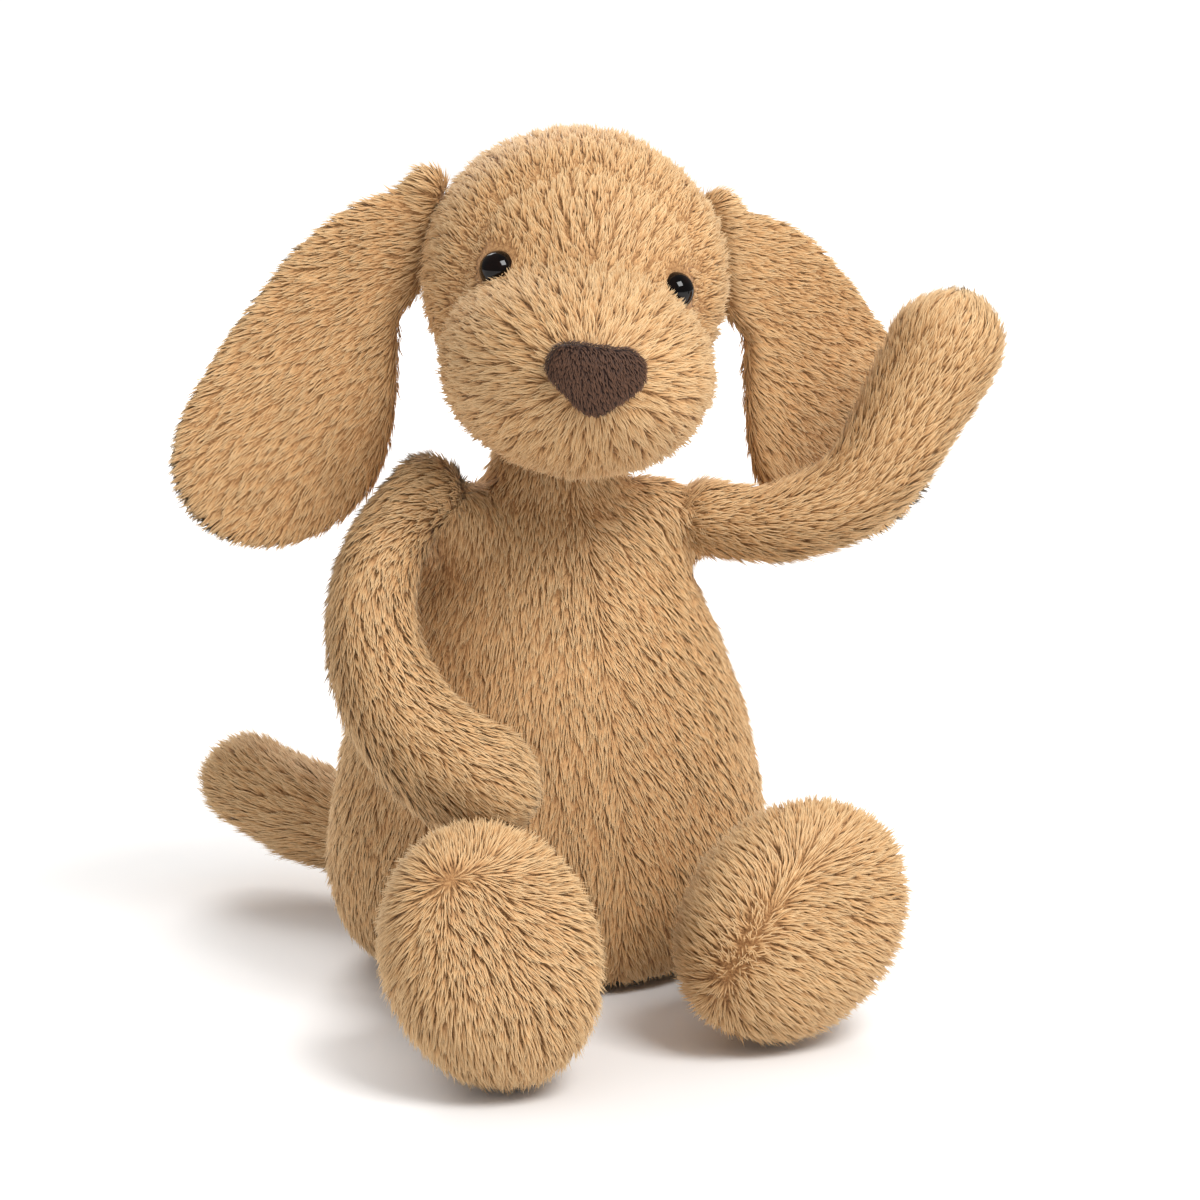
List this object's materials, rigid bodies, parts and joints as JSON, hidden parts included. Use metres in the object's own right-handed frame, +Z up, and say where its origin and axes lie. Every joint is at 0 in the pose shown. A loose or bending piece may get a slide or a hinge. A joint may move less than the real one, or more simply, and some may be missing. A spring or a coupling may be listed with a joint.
{
  "type": "plush toy puppy",
  "caption": "Sitting plush puppy with long floppy ears, stuffed limbs that bend at their seams, one paw raised, a stub tail, plastic eyes and a short-pile nose.",
  "frame": {"origin": "middle of the flat seat, on the surface that the puppy sits on", "axes": "+Z up, the puppy faces -Y, +X is the puppy's left"},
  "size_m": [0.2021, 0.2332, 0.2105],
  "materials": {
    "toffee_pile": "dense soft pile, about 6 mm, darker at its roots",
    "nose_pile": "short brown velour pile",
    "eye": "polished black safety eye",
    "washer": "moulded locking washer",
    "stuffing": "polyester fibre filling",
    "beans": "plastic pellets in a cloth bag",
    "seam_thread": "gathered seam and thread",
    "label": "blank woven satin label"
  },
  "bodies": {
    "body": {"seat_panel": "toffee_pile", "body_front_left_panel": "toffee_pile", "body_front_right_panel": "toffee_pile", "body_back_left_panel": "toffee_pile", "body_back_right_panel": "toffee_pile", "body_stuffing": "stuffing", "bean_bag": "beans", "care_label": "label"},
    "neck_seam": {"neck_knot": "seam_thread"},
    "head": {"head_left_panel": "toffee_pile", "head_right_panel": "toffee_pile", "muzzle_panel": "toffee_pile", "head_stuffing": "stuffing", "nose": "nose_pile", "eye_left": "eye", "eye_right": "eye", "eye_left_washer": "washer", "eye_right_washer": "washer"},
    "ear_left": {"ear_left_front_panel": "toffee_pile", "ear_left_back_panel": "toffee_pile"},
    "ear_right": {"ear_right_front_panel": "toffee_pile", "ear_right_back_panel": "toffee_pile"},
    "tail_seam": {"tail_knot": "seam_thread"},
    "tail": {"tail_skin": "toffee_pile", "tail_stuffing": "stuffing"},
    "shoulder_left_seam": {"shoulder_left_knot": "seam_thread"},
    "upper_arm_left": {"upper_arm_left_skin": "toffee_pile", "upper_arm_left_stuffing": "stuffing"},
    "paw_left": {"paw_left_skin": "toffee_pile", "paw_left_stuffing": "stuffing"},
    "hip_left_seam": {"hip_left_knot": "seam_thread"},
    "thigh_left": {"thigh_left_skin": "toffee_pile", "thigh_left_stuffing": "stuffing"},
    "foot_left": {"foot_left_upper": "toffee_pile", "foot_left_sole": "toffee_pile", "foot_left_beans": "beans"},
    "shoulder_right_seam": {"shoulder_right_knot": "seam_thread"},
    "upper_arm_right": {"upper_arm_right_skin": "toffee_pile", "upper_arm_right_stuffing": "stuffing"},
    "paw_right": {"paw_right_skin": "toffee_pile", "paw_right_stuffing": "stuffing"},
    "hip_right_seam": {"hip_right_knot": "seam_thread"},
    "thigh_right": {"thigh_right_skin": "toffee_pile", "thigh_right_stuffing": "stuffing"},
    "foot_right": {"foot_right_upper": "toffee_pile", "foot_right_sole": "toffee_pile", "foot_right_beans": "beans"}
  },
  "joints": [
    {"name": "neck_turn", "type": "hinge", "parent": "body", "child": "neck_seam", "pos_m": [0.0005, -0.002, 0.121], "axis": [0, 0, 1], "range_deg": [-1, 14]},
    {"name": "neck_nod", "type": "hinge", "parent": "neck_seam", "child": "head", "pos_m": [0.0005, -0.002, 0.121], "axis": [1, 0, 0], "range_deg": [-8, 6]},
    {"name": "ear_right_swing", "type": "hinge", "parent": "head", "child": "ear_right", "pos_m": [-0.02887, 0.01558, 0.18113], "axis": [0.1564, 0, 0.9877], "range_deg": [-30, 10]},
    {"name": "ear_left_swing", "type": "hinge", "parent": "head", "child": "ear_left", "pos_m": [0.04568, -0.00864, 0.17485], "axis": [0.1545, 0.0245, -0.9877], "range_deg": [-26, 2]},
    {"name": "shoulder_right_lift", "type": "hinge", "parent": "body", "child": "shoulder_right_seam", "pos_m": [-0.036, -0.01, 0.122], "axis": [0, 1, 0], "range_deg": [0, 40]},
    {"name": "shoulder_right_swing", "type": "hinge", "parent": "shoulder_right_seam", "child": "upper_arm_right", "pos_m": [-0.036, -0.01, 0.122], "axis": [-1, 0, 0], "range_deg": [-2, 45]},
    {"name": "elbow_right_bend", "type": "hinge", "parent": "upper_arm_right", "child": "paw_right", "pos_m": [-0.05677, -0.02565, 0.09599], "axis": [-1, 0, 0], "range_deg": [-2, 30]},
    {"name": "shoulder_left_lift", "type": "hinge", "parent": "body", "child": "shoulder_left_seam", "pos_m": [0.037, -0.015, 0.112], "axis": [0, -1, 0], "range_deg": [-30, 3]},
    {"name": "shoulder_left_swing", "type": "hinge", "parent": "shoulder_left_seam", "child": "upper_arm_left", "pos_m": [0.037, -0.015, 0.112], "axis": [1, 0, 0], "range_deg": [0, 40]},
    {"name": "elbow_left_bend", "type": "hinge", "parent": "upper_arm_left", "child": "paw_left", "pos_m": [0.06472, -0.03312, 0.11742], "axis": [0, -1, 0], "range_deg": [-30, 6]},
    {"name": "hip_right_lift", "type": "hinge", "parent": "body", "child": "hip_right_seam", "pos_m": [-0.045, -0.044, 0.0146], "axis": [-1, 0, 0], "range_deg": [0, 5]},
    {"name": "hip_right_splay", "type": "hinge", "parent": "hip_right_seam", "child": "thigh_right", "pos_m": [-0.045, -0.044, 0.0146], "axis": [0, 0, -1], "range_deg": [-4, 18]},
    {"name": "ankle_right_tilt", "type": "hinge", "parent": "thigh_right", "child": "foot_right", "pos_m": [-0.0535, -0.072, 0.019], "axis": [1, 0, 0], "range_deg": [-5, 12]},
    {"name": "hip_left_lift", "type": "hinge", "parent": "body", "child": "hip_left_seam", "pos_m": [0.044, -0.045, 0.0146], "axis": [-1, 0, 0], "range_deg": [0, 15]},
    {"name": "hip_left_splay", "type": "hinge", "parent": "hip_left_seam", "child": "thigh_left", "pos_m": [0.044, -0.045, 0.0146], "axis": [0, 0, 1], "range_deg": [-4, 18]},
    {"name": "ankle_left_tilt", "type": "hinge", "parent": "thigh_left", "child": "foot_left", "pos_m": [0.03, -0.069, 0.022], "axis": [1, 0, 0], "range_deg": [-12, 12]},
    {"name": "tail_wag", "type": "hinge", "parent": "body", "child": "tail_seam", "pos_m": [-0.017, 0.051, 0.02], "axis": [0, 0, 1], "range_deg": [-20, 20]},
    {"name": "tail_lift", "type": "hinge", "parent": "tail_seam", "child": "tail", "pos_m": [-0.017, 0.051, 0.02], "axis": [0.8762, 0.4819, 0], "range_deg": [-3, 25]}
  ]
}
